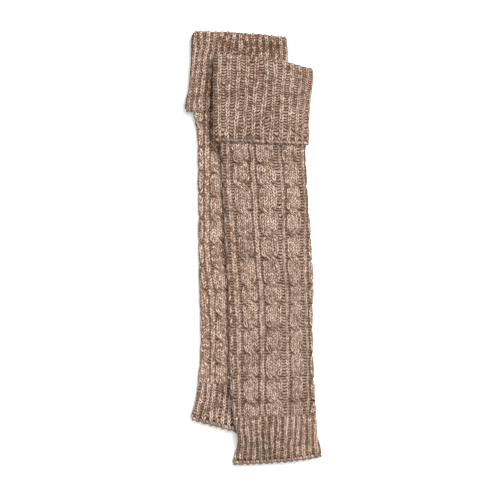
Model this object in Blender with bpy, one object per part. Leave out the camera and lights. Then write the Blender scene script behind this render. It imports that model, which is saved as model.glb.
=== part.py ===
"""A pair of cable-knit leg warmers laid flat, one lying on the other.

Each leg warmer is a knitted tube pressed flat: a cable-knit leg, a ribbed hem below it, and a ribbed top
turned down over the leg as a cuff. Every piece is a closed wall around a thin slit. Its rings are worked
out from a table of sections, and ribs and cables are raised in its outer points over a plain inside.
Metres, +Z up, and the ends with the cuffs point to +Y.
"""

import math
from collections import namedtuple

import bmesh
import bpy

# Gaps between pieces, and the slit inside a tube that is pressed flat
SEAM_GAP = 0.0003
CLEAR = 0.0005
SLIT = 0.0006

# Walls, measured in the purl gutters between the raised ribs and cables
LEG_UNDER = 0.0028
LEG_UPPER = 0.0020
CUFF_UNDER = 0.0026
CUFF_UPPER = 0.0020
HIDDEN_RISE = 0.0008

# Stitch pattern of the legs: one rib and one four-stitch cable repeat round the tube
REPEAT = 0.0254
FIRST_RIB = 0.0132
RIB_HALF = 0.0023
RIB_RISE = 0.0013
CABLE_HALF = 0.0085
CABLE_RISE = 0.0014
CABLE_TOP = 0.0024
CROSS_PITCH = 0.0253
CROSS_SHARE = 0.5
CROSS_ROWS = 4
STRAND_OVERLAP = 1.15
UNDER_STRAND_SINKS = 0.6
FRONT_CROSS = 0.0901
REAR_CROSS = -0.0208

# Single ribs of the cuffs and hems: spacing round the tube, first hollow, height, and columns on each
Ribs = namedtuple("Ribs", "spacing first rise columns")
FRONT_CUFF_RIBS = Ribs(0.0096, 0.0059, 0.0015, 4)
REAR_CUFF_RIBS = Ribs(0.0067, 0.0040, 0.0014, 3)
HEM_RIBS = Ribs(0.0066, 0.0042, 0.0013, 3)

# Rings of a cast-off edge: distance from the end, share of the ribs' height, and plain height under them
CastOff = namedtuple("CastOff", "along share least")
CAST_OFF = (CastOff(0.0034, 0.3, 0.0), CastOff(0.0018, 0.2, 0.0011), CastOff(0.0, 0.1, 0.0005))

# A leg is raised by its own cuff's lower wall, and a cuff's top is a rounded fold of this many rings
CUFF_LIFT = CUFF_UNDER + CLEAR
FOLD_STEPS = 3

# Where each cuff ends, and how far below it the leg needs to lie flat again
FRONT_CUFF_END = 0.1098
REAR_CUFF_END = 0.1436
EASE_OUT = 0.020
KNIT_FROM = 0.0025

# The leg warmer on top slopes down past the lower end of the other one over this length
TIP_SLOPE = 0.024

# Share of a stitch's height that is left at the outermost point of a folded side
SIDE_SHARE = 0.4
SIDE_INSET = 0.0007

# How far round the lower leg warmer its stitches go on before the other one hides them, and the spacing
# of columns past that
REAR_LEG_SHOWN = 0.0352
REAR_HEM_SHOWN = 0.0550
PLAIN_STEP = 0.009

# Share of a tube's width over which turned stitch columns ease back to the folded sides
TURN_EASE = 0.12

# A section across a piece: the height of its two sides, how far its middle bows away from the line
# between them, its two sides, and how far the stitch columns have turned round the tube
Section = namedtuple("Section", "y_left y_right bow left right turn")

FRONT_CUFF = (
    Section(0.2009, 0.1876, 0.0032, -0.0394, 0.0640, 0.0),
    Section(0.1967, 0.1834, 0.0032, -0.0407, 0.0651, 0.0),
    Section(0.1871, 0.1764, 0.0021, -0.0410, 0.0649, 0.0),
    Section(0.1444, 0.1444, 0.0, -0.0408, 0.0605, 0.0),
    Section(0.1167, 0.1141, 0.0, -0.0405, 0.0605, 0.0),
    Section(0.1125, 0.1096, 0.0, -0.0397, 0.0598, 0.0),
)
FRONT_LEG = (
    Section(0.1955, 0.1822, 0.0032, -0.0362, 0.0602, 0.0),
    Section(0.1871, 0.1764, 0.0021, -0.0362, 0.0598, 0.0),
    Section(0.1444, 0.1444, 0.0, -0.0362, 0.0570, 0.0),
    Section(0.1167, 0.1141, 0.0, -0.0359, 0.0560, 0.0),
    Section(0.1039, 0.1039, 0.0, -0.0341, 0.0560, 0.0),
    Section(0.0933, 0.0933, 0.0, -0.0325, 0.0565, 0.0),
    Section(0.0613, 0.0613, 0.0, -0.0309, 0.0581, 0.0002),
    Section(0.0346, 0.0346, 0.0, -0.0288, 0.0602, 0.0004),
    Section(0.0080, 0.0080, 0.0, -0.0286, 0.0618, 0.0006),
    Section(-0.0187, -0.0187, 0.0, -0.0261, 0.0634, 0.0008),
    Section(-0.0400, -0.0400, 0.0, -0.0251, 0.0645, 0.0010),
    Section(-0.0666, -0.0666, 0.0, -0.0251, 0.0634, 0.0010),
    Section(-0.1093, -0.1082, 0.0, -0.0237, 0.0640, 0.0010),
    Section(-0.1412, -0.1391, 0.0, -0.0229, 0.0648, 0.0010),
    Section(-0.1626, -0.1604, 0.0, -0.0219, 0.0662, 0.0008),
    Section(-0.1804, -0.1772, 0.0, -0.0190, 0.0674, 0.0005),
)
FRONT_HEM = (
    Section(-0.1807, -0.1775, 0.0, -0.0190, 0.0674, 0.0005),
    Section(-0.1892, -0.1850, 0.0, -0.0171, 0.0680, 0.0),
    Section(-0.1999, -0.1956, 0.0, -0.0149, 0.0688, 0.0),
    Section(-0.2073, -0.2031, 0.0, -0.0144, 0.0698, 0.0),
    Section(-0.2159, -0.2095, -0.0011, -0.0160, 0.0723, 0.0),
    Section(-0.2212, -0.2143, -0.0016, -0.0187, 0.0730, 0.0),
    Section(-0.2260, -0.2185, -0.0021, -0.0212, 0.0730, 0.0),
    Section(-0.2303, -0.2223, -0.0021, -0.0197, 0.0720, 0.0),
)
REAR_CUFF = (
    Section(0.2276, 0.2212, 0.0011, -0.0629, 0.0368, 0.0),
    Section(0.2223, 0.2159, 0.0011, -0.0649, 0.0384, 0.0),
    Section(0.1999, 0.1967, 0.0, -0.0642, 0.0385, 0.0),
    Section(0.1679, 0.1658, 0.0, -0.0668, 0.0385, 0.0),
    Section(0.1594, 0.1578, 0.0, -0.0688, 0.0385, 0.0),
    Section(0.1519, 0.1503, 0.0, -0.0729, 0.0385, 0.0),
    Section(0.1455, 0.1434, 0.0, -0.0700, 0.0378, 0.0),
)
REAR_LEG = (
    Section(0.2180, 0.2116, 0.0011, -0.0602, 0.0338, -0.0027),
    Section(0.1999, 0.1967, 0.0, -0.0600, 0.0341, -0.0027),
    Section(0.1679, 0.1658, 0.0, -0.0608, 0.0341, -0.0027),
    Section(0.1412, 0.1402, 0.0, -0.0618, 0.0336, -0.0027),
    Section(0.1348, 0.1338, 0.0, -0.0608, 0.0336, -0.0027),
    Section(0.1285, 0.1274, 0.0, -0.0581, 0.0336, -0.0027),
    Section(0.0933, 0.0933, 0.0, -0.0570, 0.0336, -0.0027),
    Section(0.0506, 0.0506, 0.0, -0.0565, 0.0336, -0.0027),
    Section(-0.0027, -0.0027, 0.0, -0.0560, 0.0341, -0.0027),
    Section(-0.0400, -0.0410, 0.0, -0.0552, 0.0346, 0.0),
    Section(-0.0773, -0.0794, 0.0, -0.0540, 0.0346, 0.0022),
    Section(-0.1093, -0.1125, 0.0, -0.0538, 0.0346, 0.0026),
    Section(-0.1253, -0.1295, 0.0, -0.0549, 0.0346, 0.0026),
    Section(-0.1441, -0.1505, 0.0, -0.0572, 0.0357, 0.0020),
)
REAR_HEM = (
    Section(-0.1444, -0.1508, 0.0, -0.0572, 0.0357, 0.0020),
    Section(-0.1572, -0.1658, -0.0011, -0.0586, 0.0368, 0.0),
    Section(-0.1658, -0.1775, -0.0011, -0.0602, 0.0378, 0.0),
    Section(-0.1732, -0.1903, -0.0016, -0.0628, 0.0389, 0.0),
    Section(-0.1780, -0.2020, -0.0021, -0.0650, 0.0395, 0.0),
    Section(-0.1828, -0.2116, -0.0027, -0.0642, 0.0389, 0.0),
)

# What the upper leg warmer lies on: its height, and where it starts and ends its slope to the surface
# past the right side of the lower one
Drape = namedtuple("Drape", "y high start end")
DRAPE = (
    Drape(0.2100, 0.0136, 0.0315, 0.0590),
    Drape(0.1444, 0.0136, 0.0315, 0.0575),
    Drape(0.1120, 0.0108, 0.0300, 0.0545),
    Drape(0.0850, 0.0083, 0.0280, 0.0520),
    Drape(-0.1444, 0.0083, 0.0300, 0.0540),
    Drape(-0.2000, 0.0083, 0.0350, 0.0590),
)

# A ring's two heights above the underside of the leg, and how far its sides stand in
Level = namedtuple("Level", "low high inset")
LEG_OUTSIDE = Level(0.0, LEG_UNDER + SLIT + LEG_UPPER, 0.0)
LEG_INSIDE = Level(LEG_UNDER, LEG_UNDER + SLIT, LEG_UNDER)
CUFF_INSIDE = Level(-CLEAR, LEG_OUTSIDE.high + HIDDEN_RISE + CLEAR, CUFF_UPPER)
CUFF_OUTSIDE = Level(-CUFF_LIFT, CUFF_INSIDE.high + CUFF_UPPER, 0.0)
CUFF_MOUTH = Level(LEG_UNDER, LEG_UNDER + SLIT, CUFF_UPPER + CLEAR + LEG_UNDER)

# Where a point sits round a ring: the direction it faces, its place along the flat part from the left
# side to the right one, and its distance round the tube from the left side in the stitch pattern
Column = namedtuple("Column", "angle share stitch")

# Directions of the columns below a rounded side's outermost point, and places of those on the underside:
# few where it lies flat, and close together where the upper leg warmer slopes down
LOW_ANGLES = (-35.0, -70.0)
REAR_UNDER = (1.0, 0.5, 0.0)
SLOPE_STEP = 0.036
FRONT_UNDER = tuple(1.0 - SLOPE_STEP * k for k in range(13)) + (0.3, 0.0)

# Rings along the plain inside of a leg, and how close points are to be one point
INSIDE_ROWS = 9
MEETS = 1e-7

# Colour of each piece's yarn, in linear light
YARN = {
    "rear_leg": (0.42, 0.29, 0.22),
    "rear_hem": (0.36, 0.25, 0.19),
    "rear_cuff": (0.33, 0.23, 0.17),
    "front_leg": (0.38, 0.26, 0.19),
    "front_hem": (0.32, 0.22, 0.16),
    "front_cuff": (0.34, 0.23, 0.17),
}
ROUGHNESS = 0.92


def smooth(t):
    """A step from 0 to 1 that starts and ends level."""
    t = min(max(t, 0.0), 1.0)
    return t * t * (3.0 - 2.0 * t)


def dome(offset, half):
    """A rounded ridge, 1 high in its middle and 0 past its half width."""
    return math.sqrt(max(0.0, 1.0 - (offset / half) ** 2))


def row_at(rows, y):
    """The row of a table at the height y, worked out from the rows above and below it."""
    above = rows[0]
    for below in rows[1:]:
        if y > below[0]:
            share = min(max((above[0] - y) / (above[0] - below[0]), 0.0), 1.0)
            return type(above)(*(a + (b - a) * share for a, b in zip(above, below)))
        above = below
    return above


def own_cuff(y, cuff_end):
    """How far a leg is raised by the lower wall of its own cuff."""
    return CUFF_LIFT * (1.0 - smooth((cuff_end - y) / EASE_OUT))


def rear_lift(x, y):
    """Height of the lower leg's underside."""
    return own_cuff(y, REAR_CUFF_END)


def front_lift(x, y):
    """Height of the upper leg's underside, which lies on the lower leg warmer and then on the surface."""
    rest = row_at(DRAPE, y)
    end = REAR_HEM[-1]
    across = (x - end.left) / (end.right - end.left)
    tip_y = end.y_left + (end.y_right - end.y_left) * across
    side = smooth((x - rest.start) / (rest.end - rest.start))
    tip = smooth((tip_y - y) / TIP_SLOPE)
    return rest.high * (1.0 - side) * (1.0 - tip) + own_cuff(y, FRONT_CUFF_END)


def cable_rise(offset, phase):
    """Height of a cable whose upper left pair of stitches crosses over the other to the lower right."""
    crossed = smooth(0.5 + phase / CROSS_SHARE)
    crossing = 4.0 * crossed * (1.0 - crossed)
    strand = CABLE_HALF / 2.0
    over_at = strand * (2.0 * crossed - 1.0)
    half = STRAND_OVERLAP * strand
    over = (CABLE_RISE + (CABLE_TOP - CABLE_RISE) * crossing) * dome(offset - over_at, half)
    under = CABLE_RISE * (1.0 - UNDER_STRAND_SINKS * crossing) * dome(offset + over_at, half)
    return max(over, under)


def leg_rise(cross_at, shown):
    """The raised stitches of a leg, as a height at a stitch and a y."""

    def rise(stitch, y):
        if stitch > shown:
            return CABLE_TOP
        place = (stitch - FIRST_RIB + REPEAT / 2.0) % REPEAT - REPEAT / 2.0
        if abs(place) <= RIB_HALF:
            return RIB_RISE * dome(place, RIB_HALF)
        phase = ((cross_at - y) / CROSS_PITCH + 0.5) % 1.0 - 0.5
        return cable_rise(place % REPEAT - REPEAT / 2.0, phase)

    return rise


def rib_rise(ribs, shown):
    """The raised ribs of a cuff or hem, as a height at a stitch and a y."""

    def rise(stitch, y):
        if stitch > shown:
            return ribs.rise
        return ribs.rise * (0.5 - 0.5 * math.cos(2.0 * math.pi * (stitch - ribs.first) / ribs.spacing))

    return rise


def hidden_rise(stitch, y):
    """A leg's upper wall where its cuff hides it."""
    return HIDDEN_RISE


def no_rise(stitch, y):
    """The inside of a wall, which is plain."""
    return 0.0


def leg_stitches(width, shown):
    """Where the columns of a leg stand: two on a rib, one in each gutter and six on a cable."""
    on_rib = (-0.0032, -0.0013, 0.0013, 0.0032)
    on_cable = tuple(REPEAT / 2.0 + share * CABLE_HALF for share in (-0.88, -0.55, -0.18, 0.18, 0.55, 0.88))
    repeats = range(-1, math.ceil(width / REPEAT) + 1)
    found = [FIRST_RIB + k * REPEAT + place for k in repeats for place in on_rib + on_cable]
    return spread(found, width, shown)


def rib_stitches(ribs, width, shown):
    """Where the columns of a cuff or hem stand: one in each hollow, and the rest on the rib."""
    steps = range(-ribs.columns, ribs.columns * (math.ceil(width / ribs.spacing) + 1))
    found = [ribs.first + ribs.spacing * k / ribs.columns for k in steps]
    return spread(found, width, shown)


def spread(found, width, shown):
    """The stitches found that lie on the upper side, then plain columns past the last one that shows."""
    kept = [s for s in found if 0.0 < s < min(width, shown)]
    last = kept[-1]
    count = max(0, math.floor((width - last) / PLAIN_STEP))
    return kept + [last + (width - last) * k / (count + 1) for k in range(1, count + 1)]


def columns_of(stitches, level, section, under):
    """All columns round a tube, from its left side over the top and back along the underside."""
    radius = (level.high - level.low) / 2.0
    quarter = radius * math.pi / 2.0
    width = width_of(level, section)
    columns = [Column(math.pi, 0.0, 0.0)]
    for stitch in stitches:
        if stitch < quarter:
            columns.append(Column(math.pi - stitch / radius, 0.0, stitch))
        elif stitch > width - quarter:
            columns.append(Column((width - stitch) / radius, 1.0, stitch))
        else:
            columns.append(Column(math.pi / 2.0, (stitch - quarter) / (width - 2.0 * quarter), stitch))
    columns.append(Column(0.0, 1.0, width))
    columns += [Column(math.radians(angle), 1.0, None) for angle in LOW_ANGLES]
    columns += [Column(-math.pi / 2.0, share, None) for share in under]
    columns += [Column(math.radians(180.0 - angle), 0.0, None) for angle in reversed(LOW_ANGLES)]
    return columns


def width_of(level, section):
    """Distance round the upper half of a tube, from one outermost side to the other."""
    radius = (level.high - level.low) / 2.0
    flat = section.right - section.left - 2.0 * SIDE_INSET - 2.0 * radius
    return flat + math.pi * radius


def ring(section, level, columns, lift, rise, along=0.0):
    """The points of one ring. along moves the whole ring up the tube."""
    radius = (level.high - level.low) / 2.0
    middle = (level.high + level.low) / 2.0
    core_left = section.left + SIDE_INSET + level.inset + radius
    core_right = section.right - SIDE_INSET - level.inset - radius
    points = []
    for column in columns:
        share = column.share
        turned = section.turn * smooth(share / TURN_EASE) * smooth((1.0 - share) / TURN_EASE)
        core_x = core_left + (core_right - core_left) * share + turned
        y = section.y_left + (section.y_right - section.y_left) * share
        y += section.bow * 4.0 * share * (1.0 - share) + along
        facing_x = math.cos(column.angle)
        facing_z = math.sin(column.angle)
        reach = radius
        if column.stitch is not None:
            reach += rise(column.stitch, y) * (1.0 - (1.0 - SIDE_SHARE) * abs(facing_x))
        points.append((core_x + reach * facing_x, y, lift(core_x, y) + middle + reach * facing_z))
    return points


def wall(name, rings):
    """A closed wall through its rings: down the outside, in over one end, up the inside and out again."""
    mesh = bpy.data.meshes.new(name)
    bm = bmesh.new()
    place = bm.verts.layers.int.new("place")
    circle = bmesh.ops.create_circle(bm, segments=len(rings[0]), radius=1.0)["verts"]
    for index, vert in enumerate(circle):
        vert[place] = index
        vert.co = rings[0][index]
    edges = list(bm.edges)
    for points in rings[1:] + rings[:1]:
        made = bmesh.ops.extrude_edge_only(bm, edges=edges)["geom"]
        for item in made:
            if isinstance(item, bmesh.types.BMVert):
                item.co = points[item[place]]
        ends = {item for item in made if isinstance(item, bmesh.types.BMVert)}
        edges = [item for item in made if isinstance(item, bmesh.types.BMEdge) and set(item.verts) <= ends]
    bmesh.ops.remove_doubles(bm, verts=circle + list(ends), dist=MEETS)
    bmesh.ops.recalc_face_normals(bm, faces=bm.faces)
    bm.to_mesh(mesh)
    bm.free()
    mesh.materials.append(yarn(name))
    return bpy.data.objects.new(name, mesh)


def yarn(name):
    """Matt heathered yarn in the piece's own colour."""
    material = bpy.data.materials.new(name + "_yarn")
    material.use_nodes = True
    shader = material.node_tree.nodes["Principled BSDF"]
    shader.inputs["Base Color"].default_value = (*YARN[name], 1.0)
    shader.inputs["Roughness"].default_value = ROUGHNESS
    shader.inputs["Metallic"].default_value = 0.0
    return material


def heights(start, end, count):
    """Evenly spaced heights down a piece, both ends included."""
    return [start + (end - start) * k / (count - 1.0) for k in range(count)]


def cable_heights(cross_at, start, end):
    """Heights down a leg, with one on each crossing and the others evenly between crossings."""
    step = CROSS_PITCH / CROSS_ROWS
    count = round((cross_at - end) / step)
    on_cable = [cross_at - step * k for k in range(-count, count + 1)]
    return [start] + [y for y in on_cable if end + step / 3.0 < y < start - step / 3.0] + [end]


def leg(name, table, cuff_end, cross_at, shown, lift, under):
    """A cable-knit tube. It is plain where its cuff hides it."""
    stitches = leg_stitches(width_of(LEG_OUTSIDE, table[-1]), shown)
    columns = columns_of(stitches, LEG_OUTSIDE, table[-1], under)
    knit = leg_rise(cross_at, shown)
    hidden = [section for section in table if section.y_left > cuff_end] + [row_at(table, cuff_end)]
    shown_rows = [row_at(table, y) for y in cable_heights(cross_at, cuff_end - KNIT_FROM, table[-1].y_left)]
    outside = [ring(section, LEG_OUTSIDE, columns, lift, hidden_rise) for section in hidden]
    outside += [ring(section, LEG_OUTSIDE, columns, lift, knit) for section in shown_rows]
    inside_rows = hidden[:-1] + [row_at(table, y) for y in heights(cuff_end, table[-1].y_left, INSIDE_ROWS)]
    inside = [ring(section, LEG_INSIDE, columns, lift, no_rise) for section in reversed(inside_rows)]
    return wall(name, outside + inside)


def rise_scaled(rise, share, least=0.0):
    """The same stitches made lower, over a plain height."""

    def scaled(stitch, y):
        return least + share * rise(stitch, y)

    return scaled


def hem(name, table, shown, lift, under):
    """A ribbed tube end with its cast-off edge as a small bead."""
    stitches = rib_stitches(HEM_RIBS, width_of(LEG_OUTSIDE, table[0]), shown)
    columns = columns_of(stitches, LEG_OUTSIDE, table[0], under)
    ribs = rib_rise(HEM_RIBS, shown)
    outside = [ring(section, LEG_OUTSIDE, columns, lift, ribs) for section in table[:-1]]
    outside += cast_off(table, LEG_OUTSIDE, columns, lift, ribs)
    inside = [ring(section, LEG_INSIDE, columns, lift, no_rise) for section in table[::-2] + table[:1]]
    return wall(name, outside + inside)


def cast_off(table, level, columns, lift, ribs):
    """Rings of the cast-off edge, down to its end."""
    return [
        ring(table[-1], level, columns, lift, rise_scaled(ribs, row.share, row.least), row.along)
        for row in CAST_OFF
    ]


def cuff(name, table, shape, leg_top, lift, under):
    """A ribbed cuff. It turns over a rounded fold at the top and meets the leg's end inside the opening."""
    stitches = rib_stitches(shape, width_of(CUFF_OUTSIDE, table[3]), math.inf)
    columns = columns_of(stitches, CUFF_OUTSIDE, table[3], under)
    ribs = rib_rise(shape, math.inf)
    top = table[0]
    outside = cast_off(table, CUFF_OUTSIDE, columns, lift, ribs)[::-1]
    outside += [ring(section, CUFF_OUTSIDE, columns, lift, ribs) for section in reversed(table[:-1])]
    fold = []
    for step in range(1, FOLD_STEPS + 1):
        angle = math.pi * step / (FOLD_STEPS + 1.0)
        in_share = 0.5 - 0.5 * math.cos(angle)
        level = Level(*(a + (b - a) * in_share for a, b in zip(CUFF_OUTSIDE, CUFF_MOUTH)))
        height = (CUFF_OUTSIDE.high - CUFF_MOUTH.high) / 2.0 * math.sin(angle)
        fold.append(ring(top, level, columns, lift, rise_scaled(ribs, 1.0 - in_share), height))
    meets = leg_top.y_left - top.y_left + SEAM_GAP
    mouth = [ring(top, CUFF_MOUTH, columns, lift, no_rise, meets)]
    inside = [ring(top, CUFF_INSIDE, columns, lift, no_rise, meets)]
    inside += [ring(section, CUFF_INSIDE, columns, lift, no_rise) for section in (*table[2:4], table[-1])]
    return wall(name, outside + fold + mouth + inside)


def main():
    for item in list(bpy.data.objects):
        bpy.data.objects.remove(item)
    pair = bpy.data.objects.new("leg_warmers", None)
    bpy.context.scene.collection.objects.link(pair)
    rear = (rear_lift, REAR_UNDER)
    front = (front_lift, FRONT_UNDER)
    for piece in (
        leg("rear_leg", REAR_LEG, REAR_CUFF_END, REAR_CROSS, REAR_LEG_SHOWN, *rear),
        hem("rear_hem", REAR_HEM, REAR_HEM_SHOWN, *rear),
        cuff("rear_cuff", REAR_CUFF, REAR_CUFF_RIBS, REAR_LEG[0], *rear),
        leg("front_leg", FRONT_LEG, FRONT_CUFF_END, FRONT_CROSS, math.inf, *front),
        hem("front_hem", FRONT_HEM, math.inf, *front),
        cuff("front_cuff", FRONT_CUFF, FRONT_CUFF_RIBS, FRONT_LEG[0], *front),
    ):
        bpy.context.scene.collection.objects.link(piece)
        piece.parent = pair


main()
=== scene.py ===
# %% [markdown]
# # A pair of cable-knit leg warmers
#
# Two knitted tubes lie flat, one on the other. Each has a leg with cables and single ribs, a ribbed hem,
# and a ribbed top that is turned down as a cuff. The yarn is thick, and heathered in light and dark beige.
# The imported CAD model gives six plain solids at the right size. This file dresses them: it works the
# stitches into a fine mesh of each tube, and gives the yarn its colours. Sizes are in metres where nothing
# else is said, and the cuffs point to +Y.

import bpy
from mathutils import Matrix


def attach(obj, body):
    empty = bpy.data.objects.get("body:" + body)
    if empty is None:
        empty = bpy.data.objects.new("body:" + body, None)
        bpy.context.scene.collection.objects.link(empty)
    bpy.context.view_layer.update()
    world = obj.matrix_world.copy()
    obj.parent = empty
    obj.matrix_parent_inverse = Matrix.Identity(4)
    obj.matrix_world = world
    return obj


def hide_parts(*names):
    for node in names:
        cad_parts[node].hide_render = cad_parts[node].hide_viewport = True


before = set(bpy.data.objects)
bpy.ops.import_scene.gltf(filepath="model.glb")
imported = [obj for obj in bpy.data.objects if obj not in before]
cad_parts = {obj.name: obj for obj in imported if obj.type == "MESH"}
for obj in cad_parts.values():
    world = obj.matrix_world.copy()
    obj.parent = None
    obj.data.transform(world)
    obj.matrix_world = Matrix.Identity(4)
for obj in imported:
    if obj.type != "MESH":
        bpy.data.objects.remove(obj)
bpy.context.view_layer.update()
print("CAD nodes:", sorted(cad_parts))

# %% Tools for the steps below
import math
from collections import namedtuple

import bmesh
import bpy
import numpy as np

# %% [markdown]
# ## Tables of sections
#
# A knitted tube that is pressed flat is told by its sections: at some heights, how far its left and right
# folded sides reach, and how its courses run from one side to the other. The solids were made from the
# same tables, so the cloth lies where they are. Some rows were moved since then, each by less than 3 mm.
# The tables are short because a knit changes slowly, and the rows between are worked out. They and the
# guides after them are written in millimetres.

# %% Sections of the six pieces
Section = namedtuple("Section", "y_left y_right bow left right")


def rows_of(kind, *rows):
    """A table of one kind of row."""
    return tuple(kind(*row) for row in rows)


def in_metres(kind, *rows):
    """A table of one kind of row, from rows in millimetres."""
    return rows_of(kind, *((round(value / 1000.0, 6) for value in row) for row in rows))


FRONT_CUFF = in_metres(
    Section,
    (200.9, 187.6, 3.2, -39.4, 64),
    (196.7, 183.4, 3.2, -40.7, 65.1),
    (187.1, 176.4, 2.1, -41, 64.9),
    (144.4, 144.4, 0, -40.8, 60.5),
    (116.7, 114.1, 0, -40.5, 60.5),
    (112.5, 109.6, 0, -39.7, 59.8),
)
FRONT_LEG = in_metres(
    Section,
    (195.5, 182.2, 3.2, -36.2, 60.2),
    (187.1, 176.4, 2.1, -36.2, 59.8),
    (144.4, 144.4, 0, -36.2, 57),
    (116.7, 114.1, 0, -34, 56),
    (103.9, 103.9, 0, -32.8, 56),
    (93.3, 93.3, 0, -32.5, 56.5),
    (61.3, 61.3, 0, -30.9, 58.1),
    (34.6, 34.6, 0, -28.8, 60.2),
    (8, 8, 0, -28.6, 61.8),
    (-18.7, -18.7, 0, -26.1, 63.4),
    (-40, -40, 0, -25.1, 64.5),
    (-66.6, -66.6, 0, -25.1, 63.4),
    (-109.3, -108.2, 0, -23.7, 64),
    (-141.2, -139.1, 0, -22.9, 64.8),
    (-162.6, -160.4, 0, -21.9, 66.2),
    (-180.5, -177.3, 0, -19, 67.4),
)
FRONT_HEM = in_metres(
    Section,
    (-180.5, -177.3, 0, -19, 67.4),
    (-189.2, -185, 0, -17.1, 68),
    (-199.9, -195.6, 0, -14.9, 68.8),
    (-207.3, -203.1, 0, -14.4, 69.8),
    (-215.9, -209.5, -1.1, -16, 71),
    (-221.2, -214.3, -1.6, -18.7, 72.2),
    (-226, -218.5, -2.1, -21.2, 73.6),
    (-229.6, -221.7, -1.6, -20, 74.2),
)
REAR_CUFF = in_metres(
    Section,
    (226.6, 221.2, 1.1, -62.9, 36.8),
    (221.3, 215.9, 1.1, -64.9, 38.4),
    (199.9, 196.7, 0, -64.2, 38.5),
    (167.9, 165.8, 0, -66.8, 38.5),
    (159.4, 157.8, 0, -68.8, 38.5),
    (151.9, 150.3, 0, -72.9, 38.5),
    (145.5, 143.4, 0, -70, 37.8),
)
REAR_LEG = in_metres(
    Section,
    (218, 211.6, 1.1, -60.2, 33.8),
    (199.9, 196.7, 0, -60, 34.1),
    (167.9, 165.8, 0, -60.8, 34.1),
    (141.2, 140.2, 0, -61.8, 33.6),
    (134.8, 133.8, 0, -60.8, 33.6),
    (128.5, 127.4, 0, -58.1, 33.6),
    (93.3, 93.3, 0, -57, 33.6),
    (50.6, 50.6, 0, -56.5, 33.6),
    (-2.7, -2.7, 0, -56, 34.1),
    (-40, -41, 0, -55.2, 34.6),
    (-77.3, -79.4, 0, -54, 34.6),
    (-109.3, -112.5, 0, -53.8, 34.6),
    (-125.3, -129.5, 0, -54.9, 34.6),
    (-144.2, -150.6, 0, -57.2, 35.7),
)
REAR_HEM = in_metres(
    Section,
    (-144.2, -150.6, 0, -57.2, 35.7),
    (-157.2, -165, 0, -58.6, 36.8),
    (-165.8, -176.5, 0, -60.2, 37.8),
    (-173.2, -189, 0, -62.8, 38.9),
    (-178, -200.6, 0, -65, 39.5),
    (-182.8, -210.2, 0, -64.2, 38.9),
)

# %% [markdown]
# ## Where the ribs run
#
# Handled knitting isn't ruled with a straight edge: ribs drift, spread and close up. So the dark columns
# between them were read off the photograph, as the distance of each from the middle line at a few heights.
# The stitches are then laid between these columns, and they stretch and lean as the real ones do. What the
# photograph hides goes on at the last spacing.

# %% Places of the dark columns
Guide = namedtuple("Guide", "y columns")


def guide_row(y, *columns):
    """The dark columns at one height."""
    return Guide(y, columns)


FRONT_LEG_GUIDE = in_metres(
    guide_row,
    (106.1, -28, -21.9, -3.1, 3.3, 24.8, 30.4, 49.7, 56.3),
    (67.7, -28.5, -20.5, -1.2, 5.8, 28.9, 35.3, 53, 57.7),
    (29.3, -25.5, -17.2, 1.4, 7.9, 30.7, 36.8, 54.3, 58.7),
    (-9.1, -23, -14.6, 3.7, 9.9, 30.6, 37.2, 52.8, 59.2),
    (-47.4, -20.1, -11.4, 6.8, 13.5, 34.2, 40.3, 54.6, 60.2),
    (-85.8, -18.2, -10, 7.9, 15, 34.3, 40.1, 55.1, 60.9),
    (-124.2, -16.8, -10.1, 8.2, 14.5, 34.6, 41, 57.1, 61.6),
    (-175.4, -15.7, -9.8, 8.3, 14.5, 35.5, 41, 56.4, 62.4),
)
REAR_LEG_GUIDE = in_metres(
    guide_row,
    (138.1, -50.3, -43.4, -25),
    (103.9, -50.6, -44.2, -25.8),
    (61.3, -50.4, -44.2, -25.8),
    (3.7, -50.8, -44.7, -26.2),
    (-26.1, -48.7, -42.3, -24),
    (-56, -45.9, -39.1, -20.6),
    (-88, -44, -37.8, -19.2),
    (-119.9, -44.2, -38.6, -20),
)
FRONT_CUFF_GUIDE = in_metres(
    guide_row,
    (183.9, -37.7, -28.8, -18.1, -9.1, 0.5, 11.2, 20.4, 30.1, 38.4, 47.8, 55.8, 62.4),
    (164.7, -38.4, -30.9, -19.9, -9.7, -1, 9.7, 18.7, 27.5, 37.2, 46.6, 54.7, 60.4),
    (145.5, -37.8, -29.7, -20.5, -11.4, -2.5, 7.5, 17.8, 27.6, 35.8, 45.1, 52.5, 58),
    (116.7, -37.4, -30.1, -21.9, -12.2, -2.9, 5.9, 16.2, 25.8, 35.3, 43.4, 51.1, 56.6),
)
REAR_CUFF_GUIDE = in_metres(
    guide_row,
    (223.3, -62.4, -56.1, -50.1, -41.1, -34.8, -28.2, -22.1, -14.9, -8.3, -2.7, 5.2, 12.2, 18.7, 26.7, 33.7),
    (212.7, -63.4, -57, -50.4, -43.3, -37.1, -31.3, -24.6, -15.7, -6.9, -1.6, 6, 12.4, 19.5, 27.8, 34.5),
    (202, -64.5, -57.9, -52.1, -45.5, -38.8, -32.5, -26.1, -17.6, -9.6, -1.5, 5.3, 13, 20.3, 29.3, 35.2),
    (180.7, -66.1, -60.4, -54.6, -47.3, -40.5, -33.6, -26.7, -19.8, -12.8, -5.9, 1.1, 8, 14.9, 21.9, 28.8),
    (155.1, -69.3, -63.6, -57.8, -50, -43.2, -36.2, -29.2, -22.2, -15.2, -8.2, -1.2, 5.8, 12.8, 19.8, 26.8),
)
FRONT_HEM_GUIDE = in_metres(
    guide_row,
    (-188.1, -13.8, -8.3, -1.6, 4.8, 11.3, 18.2, 25.6, 33.2, 40.3, 47, 52.9, 58.7, 65.1),
    (-207.3, -12.8, -6, -0.2, 6, 12.2, 19.1, 24.7, 32.5, 39.1, 45.4, 51.7, 58.7, 65.3),
    (-223.3, -14.4, -7.5, -0.9, 6, 13, 19.2, 24.6, 32.2, 38.5, 45.2, 51.9, 59.3, 66),
)
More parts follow.
